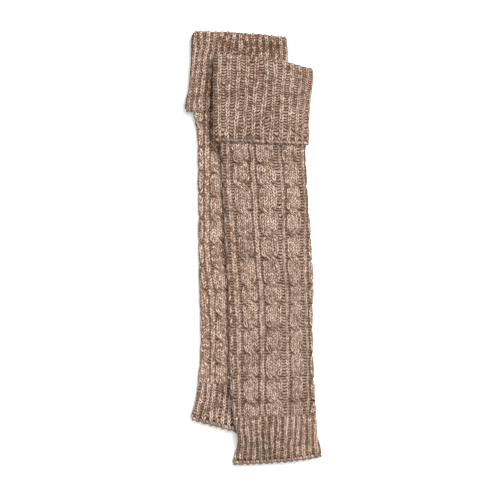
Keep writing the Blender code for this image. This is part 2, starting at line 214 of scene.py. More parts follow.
REAR_HEM_GUIDE = in_metres(
    guide_row,
    (-145.5, -53.8, -48.2, -42.3, -36.4, -30.3, -23.9, -17.5),
    (-162.6, -57, -50.5, -44.1, -38, -31.9, -25.8, -19.6),
    (-177.5, -60.7, -54.9, -46.5, -39.8, -33.6, -27.6, -20.6),
)

# %% Read a table at any height
SOFTEN = 0.008


def smooth(t):
    """A step from 0 to 1 that starts and ends level."""
    t = np.clip(t, 0.0, 1.0)
    return t * t * (3.0 - 2.0 * t)


def read_table(rows, y):
    """Every value of a table at the height y, rounded over SOFTEN so that no corner is left at a row."""
    heights = [-row[0] for row in rows]
    room = min(SOFTEN, rows[0][0] - y, y - rows[-1][0])
    reach = np.linspace(-1.0, 1.0, 9) * max(room, 0.0)
    values = [np.interp(reach - y, heights, [row[k] for row in rows]).mean() for k in range(len(rows[0]))]
    return type(rows[0])(*values)


print("front leg's section half way down:", [round(v, 4) for v in read_table(FRONT_LEG, 0.0)])

# %% [markdown]
# ## How the pair lies
#
# The lower leg warmer lies on the floor. The upper one lies on it, and comes down to the floor past its
# right side and its lower end. A cloth simulation could find this, but it would melt the stitches, so the
# height is a function of the place, which all pieces of a leg warmer share. A leg is also raised by the
# lower wall of its own turned-down cuff.

# %% Height of the underside
Drape = namedtuple("Drape", "y high start end")
DRAPE = (
    Drape(0.2100, 0.0136, 0.0315, 0.0590),
    Drape(0.1444, 0.0136, 0.0315, 0.0575),
    Drape(0.1120, 0.0108, 0.0300, 0.0545),
    Drape(0.0850, 0.0083, 0.0280, 0.0520),
    Drape(-0.1444, 0.0083, 0.0300, 0.0540),
    Drape(-0.2000, 0.0083, 0.0350, 0.0590),
)
TIP_SLOPE = 0.024
CUFF_LIFT = 0.0031
EASE_OUT = 0.020
FRONT_CUFF_END = 0.1098
REAR_CUFF_END = 0.1436


def own_cuff(y, cuff_end):
    """How far a leg is raised by the lower wall of its own cuff."""
    return CUFF_LIFT * (1.0 - smooth((cuff_end - y) / EASE_OUT))


def lower_lift(x, y):
    """Height of the lower leg warmer's underside."""
    return own_cuff(y, REAR_CUFF_END)


def upper_lift(x, y):
    """Height of the upper leg warmer's underside."""
    heights = [-row.y for row in DRAPE]
    high, start, end = (np.interp(-y, heights, values) for values in tuple(zip(*DRAPE))[1:])
    tip = REAR_HEM[-1]
    tip_y = tip.y_left + (tip.y_right - tip.y_left) * (x - tip.left) / (tip.right - tip.left)
    side = smooth((x - start) / (end - start))
    past_tip = smooth((tip_y - y) / TIP_SLOPE)
    return high * (1.0 - side) * (1.0 - past_tip) + own_cuff(y, FRONT_CUFF_END)


# %% [markdown]
# ## One stitch
#
# A knit stitch shows as a V: two short lengths of yarn that lean away from each other. A purl stitch shows
# as a bar across, and sinks between the knit ones. Each is a height over a small patch, told by two
# counts: w runs across the stitch from -0.5 to 0.5, and c counts courses up the tube. The mesh can't hold
# each ply of the yarn, so the plies and fibres come later, as bump.

# %% Stitch forms
LEAN = 1.75
LEG_AT = 0.24
LEG_HALF = 0.255
BAR_SAG = 0.07
BAR_HALF = 0.78
BAR_ARCH = 0.2


def dome(t):
    """A rounded ridge, 1 high at 0 and nothing past 1."""
    return np.sqrt(np.clip(1.0 - t * t, 0.0, 1.0))


def part(c):
    """What is left of a count after its whole number."""
    return c - np.floor(c)


def knit_stitch(w, c):
    """Height of a knit stitch's two lengths of yarn, from 0 to 1."""
    along = dome(2.0 * part(c - LEAN * np.abs(w)) - 1.0)
    across = dome((np.abs(w) - LEG_AT) / LEG_HALF)
    return along * across


def purl_stitch(w, c):
    """Height of a purl stitch's bar, from 0 to 1."""
    bar = dome((2.0 * part(c + BAR_SAG * np.cos(2.0 * math.pi * w)) - 1.0) / BAR_HALF)
    return bar * (1.0 - BAR_ARCH + BAR_ARCH * np.cos(2.0 * math.pi * w))


# %% [markdown]
# No two stitches made by hand or by a slack machine are the same. So the counts wander a little from place
# to place, and some stitches stand higher than others. The same wander moves the form and the colour.

# %% Uneven values over a surface
def corner_value(i, j, seed):
    """A value from -1 to 1 for each whole place, without any order."""
    value = np.sin(i * 12.9898 + j * 78.233 + seed * 37.719) * 43758.5453
    return 2.0 * part(value) - 1.0


def wander(x, y, size, seed):
    """Soft values from -1 to 1 that change over the given size."""
    i = np.floor(x / size)
    j = np.floor(y / size)
    u = smooth(x / size - i)
    v = smooth(y / size - j)
    low = corner_value(i, j, seed) * (1.0 - u) + corner_value(i + 1.0, j, seed) * u
    high = corner_value(i, j + 1.0, seed) * (1.0 - u) + corner_value(i + 1.0, j + 1.0, seed) * u
    return low * (1.0 - v) + high * v


# %% Read a guide
def between_marks(x, at, marks, beyond):
    """A place in the pattern for each x. marks are the pattern's places at the columns in at."""
    place = marks[0] + beyond * (np.minimum(x - at[0], 0.0) + np.maximum(x - at[-1], 0.0))
    for start, end, low, high in zip(at, at[1:], marks, marks[1:]):
        place = place + (high - low) * np.clip((x - start) / (end - start), 0.0, 1.0)
    return place


def columns_at(guide, y):
    """The guide's columns at each height y, one array for each column."""
    heights = [-row.y for row in guide]
    return [np.interp(-y, heights, values) for values in zip(*(row.columns for row in guide))]


# %% [markdown]
# ## Ribs
#
# A cuff or hem is a row of ribs: one knit column stands up, and the purl between them sinks. It ends in a
# cast-off edge, which is a chain: each stitch is pulled over the next, so the links slant and make a small
# roll with a groove above it. The stitches next to it are pulled long. The front cuff is spread so wide
# that the bars between its ribs show like the rungs of a ladder.

# %% Height of the ribs of a cuff or hem
Ribs = namedtuple("Ribs", "spacing purl rise stitch bar course tall groove")
FRONT_CUFF_RIBS = Ribs(0.0090, 0.44, 0.0007, 0.0007, 0.0007, 0.00303, 0.008, 0.0003)
REAR_CUFF_RIBS = Ribs(0.0067, 0.34, 0.0009, 0.0007, 0.0003, 0.00303, 0.004, 0.0004)
HEM_RIBS = Ribs(0.0066, 0.36, 0.0011, 0.0008, 0.0002, 0.0029, 0.003, 0.0005)
Knit = namedtuple("Knit", "height wale course purl")
RIB_HALF = 0.56
ROLL = 0.0026
ROLL_RISE = 0.0008
ROLL_AT = 0.45
ROLL_HALF = 0.6
GROOVE_AT = 1.35
GROOVE_WIDE = 0.0009
LINK_LEAN = 0.35
LINK_SHOWN = 0.75
LINK_RISE = 0.28
LINK_DRIFT = 0.6
BAR_SLANT = 0.8
RIB_SLIP = 0.3


def ribbing(ribs, guide):
    """The ribs of a cuff or hem, as a function of the place, the course and the distance from its edge."""

    def height(x, y, course, edge):
        place = between_marks(x, columns_at(guide, y), range(len(guide[0].columns)), 1.0 / ribs.spacing)
        gutter = np.floor(place + 0.5)
        off = place - gutter
        is_purl = np.abs(off) < ribs.purl / 2.0
        w_purl = np.clip(off / ribs.purl, -0.5, 0.5)
        rib = np.floor(place)
        w_knit = np.clip((place - rib - 0.5) / (1.0 - ribs.purl), -0.5, 0.5)
        c = course - 0.5 * ribs.tall / ribs.course * (1.0 - np.exp(-edge / ribs.tall))
        c = c + RIB_SLIP * corner_value(np.where(is_purl, gutter + 0.5, rib), 0.0, 11)
        knit = ribs.rise * dome(w_knit / RIB_HALF) + ribs.stitch * knit_stitch(w_knit, c)
        slant = BAR_SLANT * w_purl * wander(x, y, 0.009, 8)
        purl = ribs.bar * purl_stitch(w_purl, c + slant + 0.5) * smooth((edge - ROLL) / ribs.tall)
        from_roll = (edge - ROLL_AT * ROLL) / (ROLL_HALF * ROLL)
        in_roll = np.abs(from_roll) < 1.0
        links = 2.0 * place + LINK_LEAN * edge / ROLL + LINK_DRIFT * wander(x, y, 0.006, 9)
        full = 0.8 + 0.3 * wander(x, y, 0.009, 10)
        chain = ROLL_RISE * full * dome(from_roll) * (1.0 - LINK_RISE + LINK_RISE * purl_stitch(0.0, links))
        link = np.floor(links) + 0.5 + LINK_SHOWN * (part(links) - 0.5)
        from_groove = (edge - GROOVE_AT * ROLL) / GROOVE_WIDE
        groove = ribs.groove * (1.0 + wander(x, y, 0.017, 7)) * np.exp(-(from_groove**2))
        total = np.where(in_roll, chain, np.where(is_purl, purl, knit) - groove)
        wale = np.where(is_purl, 2.0 * gutter + 0.5 + w_purl, 2.0 * rib + 1.5 + w_knit)
        wale = np.where(in_roll, 0.5, wale)
        c = c + np.where(is_purl, slant + 0.5, 0.0)
        return Knit(total, wale, np.where(in_roll, link, c), (is_purl | in_roll) + 0.0 * total)

    return height


# %% [markdown]
# ## Cables
#
# A leg repeats one rib and one cable of four knit columns. Every eight courses the left two columns of a
# cable cross over the right two, so the strand on top runs from upper left to lower right, and the other
# dips under it. The strands are pulled narrow where they cross, and in between the four columns spread to a
# soft pillow. The purl columns beside a rib were pulled wide on its left and closed on its right.

# %% How far the strands of a cable have crossed
REPEAT = 0.0254
RIB_KNIT = 0.0046
GUTTER = 0.0019
RIB_GAP = RIB_KNIT / 2.0 + GUTTER / 2.0
CABLE_WALE = 0.00425
STRAND = 2.0 * CABLE_WALE
CROSS_SHARE = 0.50
SQUEEZE = 0.22
FRONT_GUTTERS = (0.0025, 0.0023, 0.0014, 0.0014, 0.0039, 0.0018, 0.0033, 0.0014)
REAR_GUTTERS = (0.0013, 0.0007, 0.0016)
LEG_COURSE = 0.00310
CROSS_LEAN = 0.12
PILLOW_END = 2.4
Crossing = namedtuple("Crossing", "share slope away odd")


def crossing(y, crossings):
    """How far the strands have crossed at each height, how steeply, and how far the crossing is away."""
    order = -np.array(crossings)
    count = np.interp(-y, order, np.arange(len(order)))
    pitch = (order[-1] - order[0]) / (len(order) - 1)
    before = np.maximum(order[0] + y, 0.0) / pitch
    after = np.maximum(-y - order[-1], 0.0) / pitch
    total = count - before + after + 0.5
    past = part(total) - 0.5
    t = np.clip(0.5 + past / CROSS_SHARE, 0.0, 1.0)
    slope = 6.0 * t * (1.0 - t) / (CROSS_SHARE * pitch)
    return Crossing(smooth(t), slope, smooth(PILLOW_END * np.abs(past)), np.floor(total) % 2.0)


# %% Height of a cable
CABLE_RISE = 0.0008
PILLOW_RISE = 0.0013
OVER_RISE = 0.0009
RIB_RISE = 0.0012
STITCH_RISE = 0.0006
PURL_RISE = 0.0007
SUNK = 0.0003
CLOSED_BAR = 0.7
CREASE = 0.0003
STRAND_HALF = 1.06
PILLOW_HALF = 1.1
WIDE_GUTTER = 0.0014
WIDEST_GUTTER = 0.0036
Strand = namedtuple("Strand", "height pair course")


def strand(offset, course, crossed, way):
    """One pair of knit columns of a cable. way is 1 for the strand on top and -1 for the other."""
    now = 4.0 * crossed.share * (1.0 - crossed.share)
    centre = way * STRAND / 2.0 * (2.0 * crossed.share - 1.0)
    run = way * crossed.slope * STRAND
    lean = 1.0 / np.sqrt(1.0 + run * run)
    across = (offset - centre) * lean / (1.0 - SQUEEZE * now)
    along = (offset - centre) * run * lean * lean
    pair = across / CABLE_WALE
    w = np.clip(pair - np.floor(np.clip(pair, -1.0, 0.999)) - 0.5, -0.5, 0.5)
    c = course - along / LEG_COURSE
    apart = dome(pair / STRAND_HALF)
    together = dome(offset / (STRAND_HALF * STRAND))
    pillow = PILLOW_RISE * crossed.away * dome(offset / (PILLOW_HALF * STRAND))
    body = CABLE_RISE * (together + (apart - together) * now)
    body = body + pillow + (way > 0) * OVER_RISE * now * apart
    inside = np.abs(pair) < 1.0
    return Strand((body + STITCH_RISE * knit_stitch(w, c)) * inside, pair, c)


# %% Height of a leg's ribs and cables
def cabling(guide, gutters, crossings):
    """The ribs and cables of a leg, as a function of the place and the course."""

    def height(x, y, course, edge):
        at = []
        marks = []
        for k, (column, width) in enumerate(zip(columns_at(guide, y), gutters)):
            middle = k // 2 * REPEAT + (RIB_GAP if k % 2 else -RIB_GAP)
            at += [column - width / 2.0, column + width / 2.0]
            marks += [middle - GUTTER / 2.0, middle + GUTTER / 2.0]
        place = between_marks(x, at, marks, 1.0)
        number = np.floor(place / REPEAT + 0.5)
        off = place - number * REPEAT
        offset = off - np.where(off > 0.0, 0.5, -0.5) * REPEAT
        crossed = crossing(y - CROSS_LEAN * offset, crossings)
        over = strand(offset, course, crossed, 1)
        under = strand(offset, course, crossed, -1)
        now = 4.0 * crossed.share * (1.0 - crossed.share)
        tucked = now * (1.0 - smooth(np.abs(over.pair) - 0.95))
        below = np.where(np.abs(under.pair) < 1.0, under.height * (1.0 - tucked) - CREASE * tucked, -1.0)
        on_top = np.abs(over.pair) < 1.0
        cable = np.where(on_top, over.height, below)
        w_rib = off / RIB_KNIT
        w_gutter = np.clip((np.abs(off) - RIB_GAP) / GUTTER, -0.5, 0.5)
        is_rib = np.abs(w_rib) < 0.5
        is_cable = ~is_rib & (cable > -0.5)
        rib = RIB_RISE * dome(w_rib / RIB_HALF)
        rib = rib + STITCH_RISE * knit_stitch(np.clip(w_rib, -0.5, 0.5), course)
        wide = between_marks(x, at, np.repeat(gutters, 2), 0.0)
        open_up = smooth((wide - WIDE_GUTTER) / (WIDEST_GUTTER - WIDE_GUTTER))
        bars = PURL_RISE * (CLOSED_BAR + (1.0 - CLOSED_BAR) * open_up)
        purl = bars * purl_stitch(w_gutter, course + 0.5) - SUNK * (1.0 - open_up)
        total = np.where(is_rib, rib, np.where(is_cable, cable, purl))
        pair = np.where(on_top, over.pair + 10.0 * crossed.odd, under.pair + 10.0 * (1.0 - crossed.odd))
        wale = np.where(is_rib, 0.5 + w_rib, np.where(is_cable, 4.0 + pair, 2.5 + w_gutter))
        c = np.where(on_top, over.course, under.course)
        c = np.where(is_rib, course, np.where(is_cable, c, course + 0.5))
        counted = 8.0 * (number + (off > 0.0)) + wale
        return Knit(total, counted, c, (~is_rib & ~is_cable) + 0.0 * total)

    return height


# %% [markdown]
# ## A tube in one grid
#
# Each piece is one closed wall, so it can be made from one flat grid: its rows run down the outside, round
# the end and back up the inside, and its columns run from the left side over the top to the right side and
# back along the underside. bmesh makes the grid, numpy places its points, and the two pairs of edges that
# meet are merged. Columns and rows are close together where the stitches show, and far apart on the
# underside and inside.

# %% Rows and columns of a tube
Level = namedtuple("Level", "low high inset")
Row = namedtuple("Row", "y_left y_right bow left right low high inset along facing show plain edge down")
Column = namedtuple("Column", "angle share back")
SIDE_SHARE = 0.6
LEFT_INSET = 0.0009
RIGHT_INSET = -0.0006
LOW_ANGLES = (-18, -40, -65)
FAR = 1.0


def row_of(section, level, along=0.0, facing=0.0, show=0.0, plain=0.0, edge=FAR, down=0.0):
    """A row of the grid at a section of the piece."""
    return Row(*section, *level, along, facing, show, plain, edge, down)


def columns_round(level, section, steps, under):
    """Columns round a tube, from (distance, spacing) steps on top and shares of the width below."""
    radius = (level.high - level.low) / 2.0
    quarter = radius * math.pi / 2.0
    width = section.right - section.left - LEFT_INSET - RIGHT_INSET - 2.0 * (radius - quarter)
    places = [0.0]
    for reach, spacing in steps:
        start = places[-1]
        end = min(reach, width)
        count = max(1, round((end - start) / spacing))
        places += [start + (end - start) * k / count for k in range(1, count + 1)]
    columns = []
    for place in places:
        if place < quarter:
            columns.append(Column(math.pi - place / radius, 0.0, 0.0))
        elif place > width - quarter:
            columns.append(Column((width - place) / radius, 1.0, 0.0))
        else:
            columns.append(Column(math.pi / 2.0, (place - quarter) / (width - 2.0 * quarter), 0.0))
    columns += [Column(math.radians(angle), 1.0, 0.0) for angle in LOW_ANGLES]
    columns += [Column(-math.pi / 2.0, share, 1.0) for share in under]
    columns += [Column(math.radians(-180 - angle), 0.0, 1.0) for angle in reversed(LOW_ANGLES)]
    columns.append(Column(-math.pi, 0.0, 1.0))
    return columns


# %% [markdown]
# Cloth that was folded and handled keeps a few soft troughs. They are placed where the photograph
# shows them, with some more of the same kind where one leg warmer hides the other.

# %% Soft troughs
Trough = namedtuple("Trough", "x y turn long wide deep")
TROUGHS = rows_of(
    Trough,
    (-0.010, 0.201, 4, 0.030, 0.006, 0.0010),
    (0.020, 0.212, -8, 0.016, 0.005, 0.0006),
    (-0.052, 0.165, 84, 0.018, 0.004, 0.0006),
    (0.046, 0.150, -60, 0.022, 0.006, 0.0006),
    (-0.006, 0.134, -12, 0.026, 0.005, 0.0005),
    (0.022, 0.083, 15, 0.014, 0.006, 0.0007),
    (-0.047, 0.052, 80, 0.030, 0.005, 0.0007),
    (0.052, 0.013, -35, 0.016, 0.005, 0.0006),
    (0.004, -0.030, 8, 0.018, 0.005, 0.0005),
    (-0.046, -0.046, 88, 0.026, 0.004, 0.0006),
    (0.040, -0.075, -20, 0.017, 0.006, 0.0007),
    (0.046, -0.158, 8, 0.017, 0.004, 0.0008),
    (0.010, -0.205, 2, 0.016, 0.006, 0.0007),
    (0.049, -0.205, 80, 0.012, 0.005, 0.0005),
    (-0.040, -0.165, 70, 0.014, 0.005, 0.0005),
    (0.002, 0.120, 20, 0.024, 0.007, 0.0006),
    (-0.0600, 0.1606, 3, 0.020, 0.0014, 0.0008),
    (0.012, -0.002, -14, 0.020, 0.008, 0.0007),
    (-0.004, -0.110, 75, 0.026, 0.006, 0.0006),
)


def troughs(x, y):
    """How far the upper side is let down by its troughs."""
    deep = np.zeros(x.shape)
    for trough in TROUGHS:
        turn = math.radians(trough.turn)
        along = (x - trough.x) * math.cos(turn) + (y - trough.y) * math.sin(turn)
        across = (y - trough.y) * math.cos(turn) - (x - trough.x) * math.sin(turn)
        deep += trough.deep * np.exp(-((along / trough.long) ** 2) - (across / trough.wide) ** 2)
    return deep


# %% [markdown]
# Marled yarn has darker lengths, and where several lie together the knit has a darker patch. Some such
# patches are set where the photograph shows them. Other patches are painted shade: narrow ones along the
# line where the upper leg warmer lies on the lower one, and others beside and under the cuffs, at the lower
# cuff's top fold and above the upper hem's edge. The same value paints shade on the folded sides, which
# turn away from the light.

# %% Darker patches of marl, and patches of painted shade
Patch = namedtuple("Patch", "x y wide tall dark")
PATCHES = rows_of(
    Patch,
    # Painted shade where the lower cuff's top fold turns away from the light, with some darker marl.
    (0.003, 0.2127, 0.030, 0.005, 0.5),
    (-0.012, 0.2170, 0.060, 0.014, 0.45),
    # Painted shadow of the upper cuff on the lower cuff, and painted shade on the lower leg just below its
    # cuff.
    (-0.0450, 0.1680, 0.005, 0.024, 1.0),
    (-0.0440, 0.1340, 0.008, 0.010, 0.9),
    # Darker patches of marl.
    (-0.0100, 0.0720, 0.009, 0.004, 0.6),
    (0.0410, 0.0950, 0.008, 0.010, 0.35),
    (-0.0430, 0.0660, 0.008, 0.010, 0.35),
    (-0.0440, 0.0380, 0.010, 0.004, 0.4),
    (-0.0420, -0.0110, 0.010, 0.005, 0.45),
    (-0.0040, 0.0005, 0.009, 0.006, 0.35),
    (0.0250, -0.0220, 0.012, 0.007, 0.35),
    (0.0450, -0.0400, 0.009, 0.007, 0.45),
    (0.0230, -0.0510, 0.010, 0.005, 0.3),
    (-0.0460, -0.1040, 0.008, 0.005, 0.3),
    (0.0110, -0.2050, 0.014, 0.007, 0.45),
    (0.0310, -0.2060, 0.012, 0.007, 0.35),
    (0.0520, -0.2050, 0.010, 0.006, 0.4),
    (-0.0310, -0.1550, 0.006, 0.012, 0.4),
    (0.0360, 0.1590, 0.020, 0.006, 0.25),
    # Painted shade: a line above the upper hem's cast-off edge, the notch under the upper cuff's corner, a
    # line along a crease across the lower cuff, and the line where the upper leg warmer lies on the lower
    # one.
    (-0.0065, -0.2253, 0.009, 0.0010, 1.2),
    (-0.0350, 0.1060, 0.0035, 0.006, 1.3),
    (-0.0580, 0.1602, 0.012, 0.0008, 0.7),
    (-0.0314, 0.0850, 0.0013, 0.020, 1.2),
    (-0.0295, 0.0500, 0.0013, 0.018, 1.1),
    (-0.0281, 0.0170, 0.0013, 0.018, 1.0),
    (-0.0252, -0.0250, 0.0012, 0.020, 0.9),
    (-0.0245, -0.0620, 0.0012, 0.020, 0.8),
    (-0.0233, -0.1050, 0.0012, 0.025, 0.8),
)
# SIDE_DARK paints shade on the folded sides, which turn away from the light.
SIDE_DARK = 0.25


def darkness(x, y, side):
    """How much darker each place is painted: darker lengths of marl, and painted shade from the shade
    patches and from how far the cloth turns away.
    """
    dark = SIDE_DARK * np.clip(side - 0.5, 0.0, 1.0) * 2.0
    for patch in PATCHES:
        away = ((x - patch.x) / patch.wide) ** 2 + ((y - patch.y) / patch.tall) ** 2
        dark = dark + patch.dark * np.exp(-away)
    return dark


# %% Place all points of a tube
WALE_DRIFT = 0.00065
COURSE_DRIFT = 0.36
HEIGHT_DRIFT = 0.12
EDGE_DRIFT = 0.0004
FADE_UNDER = 1.4


def place_points(rows, columns, lift, knit):
    """Points of a tube as arrays of rows by columns, with the knit's counts at each."""
    row = Row(*(np.array(values)[:, None] for values in zip(*rows)))
    column = Column(*(np.array(values)[None, :] for values in zip(*columns)))
    radius = (row.high - row.low) / 2.0
    core_left = row.left + LEFT_INSET + row.inset + radius
    core_right = row.right - RIGHT_INSET - row.inset - radius
    share = column.share
    core_x = core_left + (core_right - core_left) * share
    core_y = row.y_left + (row.y_right - row.y_left) * share
    core_y = core_y + 4.0 * row.bow * share * (1.0 - share) + row.along
    core_x = core_x + EDGE_DRIFT * wander(core_x, core_y, 0.011, 5)
    core_y = core_y + EDGE_DRIFT * wander(core_x, core_y, 0.009, 6)
    turned = radius * (math.pi / 2.0 - column.angle)
    unrolled = np.where(column.back > 0.0, 2.0 * core_right - core_x + turned, core_x + turned)
    slip = WALE_DRIFT * (wander(unrolled, core_y, 0.007, 1) + 0.6 * wander(unrolled, core_y, 0.0035, 2))
    course = row.down + COURSE_DRIFT * wander(unrolled, core_y, 0.006, 3)
    made = knit(unrolled + slip, core_y, course, row.edge + 0.0 * core_x)
    uneven = 1.0 + HEIGHT_DRIFT * wander(unrolled, core_y, 0.0038, 4)
    out_x = np.cos(column.angle)
    out_z = np.sin(column.angle)
    upper = (1.0 - (1.0 - SIDE_SHARE) * np.abs(out_x)) * np.clip(1.0 + FADE_UNDER * out_z, 0.0, 1.0)
    upper = upper * (out_z > -0.99)
    rise = (made.height * uneven * row.show + row.plain) * upper
    rise = rise - troughs(core_x, core_y) * (row.facing < 3.0) * np.maximum(out_z, 0.0)
    face = np.cos(row.facing)
    x = core_x + (radius + rise * face) * out_x
    y = core_y + rise * np.sin(row.facing)
    z = lift(core_x, core_y) + (row.high + row.low) / 2.0 + (radius + rise * face) * out_z
    return np.stack([x, y, z], axis=-1), made, darkness(core_x, core_y, np.abs(out_x))


# %% Make a tube's mesh
MEETS = 1e-6


def knit_tube(name, rows, columns, lift, knit):
    """A closed wall of knitted cloth as an object."""
    bm = bmesh.new()
    bmesh.ops.create_grid(bm, x_segments=len(columns) - 1, y_segments=len(rows), size=1.0)
    mesh = bpy.data.meshes.new(name)
    bm.to_mesh(mesh)
    bm.free()
    flat = np.empty(len(mesh.vertices) * 3)
    mesh.vertices.foreach_get("co", flat)
    flat = flat.reshape(-1, 3)
    across = np.rint((flat[:, 0] + 1.0) / 2.0 * (len(columns) - 1)).astype(int)
    down = np.rint((1.0 - flat[:, 1]) / 2.0 * len(rows)).astype(int)
    points, made, dark = place_points(rows + rows[:1], columns, lift, knit)
    points[:, -1] = points[:, 0]
    mesh.vertices.foreach_set("co", points[down, across].ravel())
    stitches = np.stack([made.wale[down, across], made.course[down, across]], axis=-1)
    corners = np.empty(len(mesh.loops), dtype=int)
    mesh.loops.foreach_get("vertex_index", corners)
    layer = mesh.uv_layers[0] if mesh.uv_layers else mesh.uv_layers.new()
    layer.name = "stitches"
    layer.data.foreach_set("uv", stitches[corners].ravel())
    # The dark value holds darker marl and painted shade, for the material to use.
    for label, values in (("purl", made.purl), ("height", made.height * 1000.0), ("dark", dark)):
        attribute = mesh.attributes.new(label, "FLOAT", "POINT")
        attribute.data.foreach_set("value", values[down, across].astype(np.float32))
    bm = bmesh.new()
    bm.from_mesh(mesh)
    seam = [vert for vert in bm.verts if vert.is_boundary]
    bmesh.ops.remove_doubles(bm, verts=seam, dist=MEETS)
    bmesh.ops.recalc_face_normals(bm, faces=bm.faces)
    bm.to_mesh(mesh)
    loose_edges = sum(edge.is_boundary for edge in bm.edges)
    faces = len(bm.faces)
    bm.free()
    mesh.shade_smooth()
    piece = bpy.data.objects.new(name, mesh)
    bpy.context.scene.collection.objects.link(piece)
    print(f"{name}: {faces * 2} triangles, {loose_edges} open edges")
    return piece


# %% [markdown]
# ## The edges of a tube
#
# A cast-off edge and the fold at the top of a cuff are both rows that turn from the outside of the wall to
# its inside. The stitches go on round them, so the relief turns with the rows.

# %% Rows of an edge
EDGE_STEPS = 5
FOLD_ROWS = 12


def between(a, b, share):
    """A level part of the way from one to another."""
    return Level(*(p + (q - p) * share for p, q in zip(a, b)))


def turned_over(section, outer, inner, steps, way, down, course):
    """Rows that turn a wall over to its inner level. way is 1 at a top and -1 at an end."""
    rows = []
    half = (outer.high - inner.high) / 2.0
    for step in range(1, steps):
        angle = math.pi * step / steps
        rows.append(
            row_of(
                section,
                between(outer, inner, 0.5 - 0.5 * math.cos(angle)),
                along=way * half * math.sin(angle),
                facing=way * angle,
                show=max(0.0, math.cos(angle / 2.0)),
                edge=FAR if way > 0 else -half * angle,
                down=down + way * half * angle / course,
            )
        )
    return rows


def heights(start, end, spacing):
    """Evenly spaced heights down a piece, both ends included."""
    count = max(1, round(abs(start - end) / spacing))
    return [start + (end - start) * k / count for k in range(count + 1)]


# %% [markdown]
# ## The legs
#
# The leg is plain where its own cuff hides it. Its stitches start under the cuff's lower edge and end
# where the hem's ribs take over, so its last row of points is the hem's first.

# %% Make a leg
LEG_UNDER = 0.0028
LEG_UPPER = 0.0020
SLIT = 0.0006
LEG_OUTSIDE = Level(0.0, LEG_UNDER + SLIT + LEG_UPPER, 0.0)
LEG_INSIDE = Level(LEG_UNDER, LEG_UNDER + SLIT, LEG_UNDER)
HIDDEN_RISE = 0.0008
KNIT_FROM = 0.0025
JOIN = 0.0016
AT_JOIN = 0.3
HIDDEN_ROWS = 0.008
LEG_INSIDE_ROWS = 0.02
HEM_INSIDE_ROWS = 0.01
CUFF_INSIDE_ROWS = 0.012


def joined(distance):
    """How much of the relief shows near the line where a leg goes over into its hem."""
    return AT_JOIN + (1.0 - AT_JOIN) * float(smooth(distance / JOIN))


def leg(name, table, cuff_end, fine, lie, knit):
    """A cable-knit tube."""
    end = table[-1].y_left
    rows = []
    for y in heights(table[0].y_left, cuff_end, HIDDEN_ROWS)[:-1]:
        rows.append(row_of(read_table(table, y), LEG_OUTSIDE, plain=HIDDEN_RISE, down=y / LEG_COURSE))
    for y in heights(cuff_end, end, fine.rows):
        shown = min(float(smooth((cuff_end - y) / KNIT_FROM)), joined(y - end))
        plain = HIDDEN_RISE * (1.0 - shown)
        rows.append(row_of(read_table(table, y), LEG_OUTSIDE, show=shown, plain=plain, down=y / LEG_COURSE))
    for y in heights(end, table[0].y_left, LEG_INSIDE_ROWS):
        rows.append(row_of(read_table(table, y), LEG_INSIDE, facing=math.pi, down=y / LEG_COURSE))
    columns = columns_round(LEG_OUTSIDE, table[-1], fine.steps, lie.under)
    return knit_tube(name, rows, columns, lie.lift, knit)


UNDER_STEP = 0.036
Lie = namedtuple("Lie", "under lift")
LOWER = Lie((1.0, 0.75, 0.5, 0.25, 0.0), lower_lift)
UPPER = Lie(tuple(1.0 - UNDER_STEP * k for k in range(13)) + (0.3, 0.0), upper_lift)
Fine = namedtuple("Fine", "steps rows")
FRONT_CROSSINGS = (
    (0.0901, 0.0656, 0.0379, 0.0133, -0.0112)
    + (-0.0389, -0.0592, -0.0848, -0.1114, -0.1381, -0.1626)
)
REAR_CROSSINGS = (0.1057, 0.0804, 0.0551, 0.0298, 0.0045, -0.0208, -0.0461, -0.0714, -0.0967, -0.1220)

front_cables = cabling(FRONT_LEG_GUIDE, FRONT_GUTTERS, FRONT_CROSSINGS)
rear_cables = cabling(REAR_LEG_GUIDE, REAR_GUTTERS, REAR_CROSSINGS)
front_fine = Fine(((1.0, 0.00058),), 0.00062)
rear_fine = Fine(((0.038, 0.00055), (1.0, 0.0025)), 0.0006)
front_leg = leg("front_leg_knit", FRONT_LEG, FRONT_CUFF_END, front_fine, UPPER, front_cables)
rear_leg = leg("rear_leg_knit", REAR_LEG, REAR_CUFF_END, rear_fine, LOWER, rear_cables)

# %% [markdown]
# ## The hems
#
# A hem is one knit and one purl column in turn, a little narrower than the leg's stitches, and flares
# towards its cast-off edge because a cast-off is looser than the ribs.

# %% Make a hem
def hem(name, table, fine, lie, guide):
    """A ribbed tube end."""
    course = HEM_RIBS.course
    top = table[0].y_left
    end = table[-1].y_left
    rows = []
    for y in heights(top, end, fine.rows):
        shown = joined(top - y)
        plain = HIDDEN_RISE * (1.0 - shown)
        section = read_table(table, y)
        rows.append(row_of(section, LEG_OUTSIDE, show=shown, plain=plain, edge=y - end, down=y / course))
    rows += turned_over(table[-1], LEG_OUTSIDE, LEG_INSIDE, EDGE_STEPS, -1, end / course, course)
    for y in heights(end, top, HEM_INSIDE_ROWS):
        rows.append(row_of(read_table(table, y), LEG_INSIDE, facing=math.pi, down=y / course))
    columns = columns_round(LEG_OUTSIDE, table[0], fine.steps, lie.under)
    return knit_tube(name, rows, columns, lie.lift, ribbing(HEM_RIBS, guide))


front_fine = Fine(((1.0, 0.00045),), 0.00045)
rear_fine = Fine(((0.056, 0.0005), (1.0, 0.0025)), 0.0005)
front_hem = hem("front_hem_knit", FRONT_HEM, front_fine, UPPER, FRONT_HEM_GUIDE)
rear_hem = hem("rear_hem_knit", REAR_HEM, rear_fine, LOWER, REAR_HEM_GUIDE)

# %% [markdown]
# ## The cuffs
#
# A cuff is the leg warmer's ribbed top turned down over the leg. Seen from above it starts at a rounded
# fold, and ends in the cast-off edge that lies on the leg.

